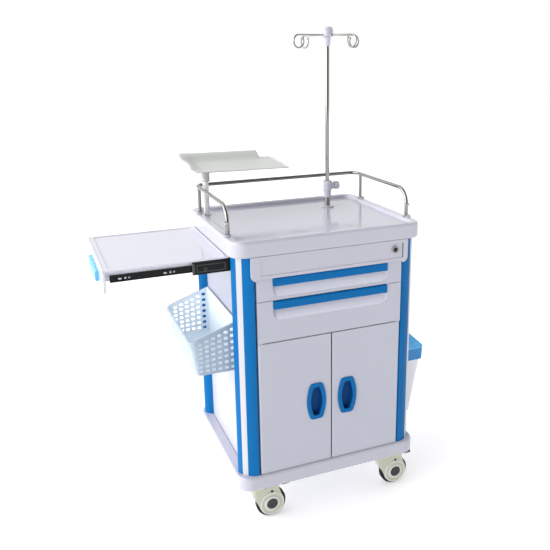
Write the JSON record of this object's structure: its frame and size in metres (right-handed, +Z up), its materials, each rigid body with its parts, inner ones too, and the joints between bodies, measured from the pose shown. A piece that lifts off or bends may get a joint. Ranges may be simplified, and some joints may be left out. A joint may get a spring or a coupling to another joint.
{
  "type": "emergency trolley",
  "caption": "Hospital emergency trolley: moulded cabinet with drawers, cupboard doors, pull-out side shelf, basket, bin, guard rail, infusion pole and monitor tray on casters.",
  "frame": {"origin": "on the floor under the middle of the cabinet", "axes": "+X to the right seen from the front, the front faces -Y, +Z up"},
  "size_m": [1.098, 0.6658, 1.545],
  "materials": {
    "white_moulding": "satin, moulded",
    "white_panel": "smooth, satin",
    "post_white": "satin, coated extrusion",
    "blue_plastic": "satin",
    "pale_blue_plastic": "satin",
    "basket_plastic": "translucent satin",
    "chrome_tube": "polished",
    "zinc_steel": "zinc plated",
    "black_slide": "black coated steel",
    "lock_metal": "polished",
    "lock_dark": "satin",
    "black_plastic": "matt",
    "grey_coated_steel": "satin coated",
    "beige_plastic": "satin",
    "wheel_grey": "satin",
    "tread_black": "matt"
  },
  "bodies": {
    "cabinet": {"base_moulding": "white_moulding", "corner_posts": "post_white", "trim_strips": "blue_plastic", "side_panel_left": "white_panel", "side_panel_right": "white_panel", "back_panel": "white_panel", "cupboard_divider": "white_panel", "top_deck": "white_moulding", "front_apron": "white_moulding", "fascia_panel": "white_moulding", "lock_barrel": "lock_metal", "guard_rail": "chrome_tube", "slide_channels": "zinc_steel", "hang_brackets": "zinc_steel", "magnet_catches": "black_plastic", "door_pivots": "zinc_steel", "caster_plates": "zinc_steel", "wire_basket": "basket_plastic", "bin_body": "white_moulding", "pole_socket": "chrome_tube", "pole_clamp": "white_moulding", "monitor_post": "grey_coated_steel"},
    "lock": {"lock_core": "lock_dark"},
    "upper_drawer": {"drawer_1_front": "white_panel", "drawer_1_grip": "blue_plastic", "drawer_1_box": "white_panel", "drawer_1_runners": "zinc_steel"},
    "lower_drawer": {"drawer_2_front": "white_panel", "drawer_2_grip": "blue_plastic", "drawer_2_box": "white_panel", "drawer_2_runners": "zinc_steel"},
    "left_door": {"door_left": "white_panel", "door_left_handle": "blue_plastic"},
    "right_door": {"door_right": "white_panel", "door_right_handle": "blue_plastic"},
    "side_shelf": {"side_shelf_tray": "white_moulding", "side_shelf_end_plate": "white_moulding", "side_shelf_handle": "pale_blue_plastic", "side_shelf_inner_slides": "black_slide"},
    "shelf_slides": {"side_shelf_middle_slides": "black_slide"},
    "lid": {"bin_lid": "blue_plastic"},
    "knob": {"pole_knob": "white_moulding"},
    "pole": {"pole_rod": "chrome_tube", "pole_hub": "white_moulding", "pole_hooks": "chrome_tube"},
    "monitor_swivel_tray": {"monitor_tray": "grey_coated_steel"},
    "fork_fl": {"caster_fork_fl": "beige_plastic"},
    "wheel_and_tyre_fl": {"wheel_fl": "wheel_grey", "tyre_fl": "tread_black"},
    "pedal_fl": {"brake_pedal_fl": "black_plastic"},
    "fork_fr": {"caster_fork_fr": "beige_plastic"},
    "wheel_and_tyre_fr": {"wheel_fr": "wheel_grey", "tyre_fr": "tread_black"},
    "pedal_fr": {"brake_pedal_fr": "black_plastic"},
    "fork_bl": {"caster_fork_bl": "beige_plastic"},
    "wheel_and_tyre_bl": {"wheel_bl": "wheel_grey", "tyre_bl": "tread_black"},
    "fork_br": {"caster_fork_br": "beige_plastic"},
    "wheel_and_tyre_br": {"wheel_br": "wheel_grey", "tyre_br": "tread_black"}
  },
  "joints": [
    {"name": "lock_turn", "type": "hinge", "parent": "cabinet", "child": "lock", "pos_m": [0.212, -0.24, 0.873], "axis": [0, -1, 0], "range_deg": [0, 90]},
    {"name": "upper_drawer_slide", "type": "slide", "parent": "cabinet", "child": "upper_drawer", "axis": [0, -1, 0], "range_m": [0, 0.3]},
    {"name": "lower_drawer_slide", "type": "slide", "parent": "cabinet", "child": "lower_drawer", "axis": [0, -1, 0], "range_m": [0, 0.3]},
    {"name": "left_door_hinge", "type": "hinge", "parent": "cabinet", "child": "left_door", "pos_m": [-0.232, -0.24, 0.4], "axis": [0, 0, -1], "range_deg": [0, 110]},
    {"name": "right_door_hinge", "type": "hinge", "parent": "cabinet", "child": "right_door", "pos_m": [0.232, -0.24, 0.4], "axis": [0, 0, 1], "range_deg": [0, 110]},
    {"name": "side_shelf_slide", "type": "slide", "parent": "cabinet", "child": "side_shelf", "axis": [1, 0, 0], "range_m": [0, 0.342]},
    {"name": "middle_slides_travel", "type": "slide", "parent": "cabinet", "child": "shelf_slides", "axis": [1, 0, 0], "range_m": [0, 0.114]},
    {"name": "bin_lid_hinge", "type": "hinge", "parent": "cabinet", "child": "lid", "pos_m": [0.294, 0, 0.512], "axis": [0, -1, 0], "range_deg": [0, 75]},
    {"name": "clamp_knob_turn", "type": "hinge", "parent": "cabinet", "child": "knob", "pos_m": [0.15, 0.115, 1.015], "axis": [1, 0, 0], "range_deg": [0, 270]},
    {"name": "pole_lift", "type": "slide", "parent": "cabinet", "child": "pole", "axis": [0, 0, 1], "range_m": [0, 0.12]},
    {"name": "monitor_tray_swivel", "type": "hinge", "parent": "cabinet", "child": "monitor_swivel_tray", "pos_m": [-0.27, 0.168, 1.07], "axis": [0, 0, 1], "continuous": true},
    {"name": "caster_swivel_fl", "type": "hinge", "parent": "cabinet", "child": "fork_fl", "pos_m": [-0.228, -0.19, 0.12], "axis": [0, 0, 1], "continuous": true},
    {"name": "wheel_spin_fl", "type": "hinge", "parent": "fork_fl", "child": "wheel_and_tyre_fl", "pos_m": [-0.193, -0.19, 0.05], "axis": [0, 1, 0], "continuous": true},
    {"name": "brake_press_fl", "type": "hinge", "parent": "fork_fl", "child": "pedal_fl", "pos_m": [-0.184, -0.19, 0.112], "axis": [0, 1, 0], "range_deg": [0, 10]},
    {"name": "caster_swivel_fr", "type": "hinge", "parent": "cabinet", "child": "fork_fr", "pos_m": [0.228, -0.19, 0.12], "axis": [0, 0, 1], "continuous": true},
    {"name": "wheel_spin_fr", "type": "hinge", "parent": "fork_fr", "child": "wheel_and_tyre_fr", "pos_m": [0.263, -0.19, 0.05], "axis": [0, 1, 0], "continuous": true},
    {"name": "brake_press_fr", "type": "hinge", "parent": "fork_fr", "child": "pedal_fr", "pos_m": [0.272, -0.19, 0.112], "axis": [0, 1, 0], "range_deg": [0, 10]},
    {"name": "caster_swivel_bl", "type": "hinge", "parent": "cabinet", "child": "fork_bl", "pos_m": [-0.228, 0.19, 0.12], "axis": [0, 0, 1], "continuous": true},
    {"name": "wheel_spin_bl", "type": "hinge", "parent": "fork_bl", "child": "wheel_and_tyre_bl", "pos_m": [-0.193, 0.19, 0.05], "axis": [0, 1, 0], "continuous": true},
    {"name": "caster_swivel_br", "type": "hinge", "parent": "cabinet", "child": "fork_br", "pos_m": [0.228, 0.19, 0.12], "axis": [0, 0, 1], "continuous": true},
    {"name": "wheel_spin_br", "type": "hinge", "parent": "fork_br", "child": "wheel_and_tyre_br", "pos_m": [0.263, 0.19, 0.05], "axis": [0, 1, 0], "continuous": true}
  ],
  "couplings": [
    {"joint": "middle_slides_travel", "follows": "side_shelf_slide", "ratio": 0.33333}
  ]
}
